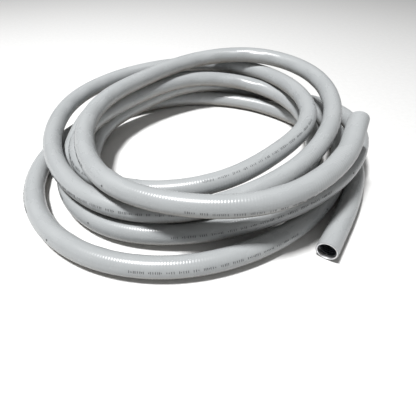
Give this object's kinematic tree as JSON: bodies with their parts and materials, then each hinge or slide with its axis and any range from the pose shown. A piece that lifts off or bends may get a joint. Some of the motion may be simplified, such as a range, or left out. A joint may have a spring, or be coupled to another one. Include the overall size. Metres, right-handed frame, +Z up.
{
  "type": "flexible hose",
  "caption": "Loosely coiled length of smooth plastic-jacketed flexible hose over an interlocked steel core, both ends cut square.",
  "frame": {"origin": "on the ground plane, under the middle of the coil's bounding box", "axes": "+Z up and square to the ground, the coil's shortest extent; +Y from the cut outer end towards the back of the coil; +X to the right, its longest extent by a little"},
  "size_m": [0.8213, 0.8178, 0.1804],
  "materials": {
    "jacket": "smooth light grey vinyl with a soft shine and faint spiral ribs",
    "core": "bright galvanised interlocked strip"
  },
  "bodies": {
    "root": {"jacket_upper_end": "jacket", "jacket_turn_1": "jacket", "jacket_turn_2": "jacket", "jacket_turn_3": "jacket", "jacket_turn_4": "jacket", "jacket_turn_5": "jacket", "jacket_turn_6": "jacket", "jacket_outer_end": "jacket", "core_upper_end": "core", "core_turn_1": "core", "core_turn_2": "core", "core_turn_3": "core", "core_turn_4": "core", "core_turn_5": "core", "core_turn_6": "core", "core_outer_end": "core"}
  },
  "joints": []
}
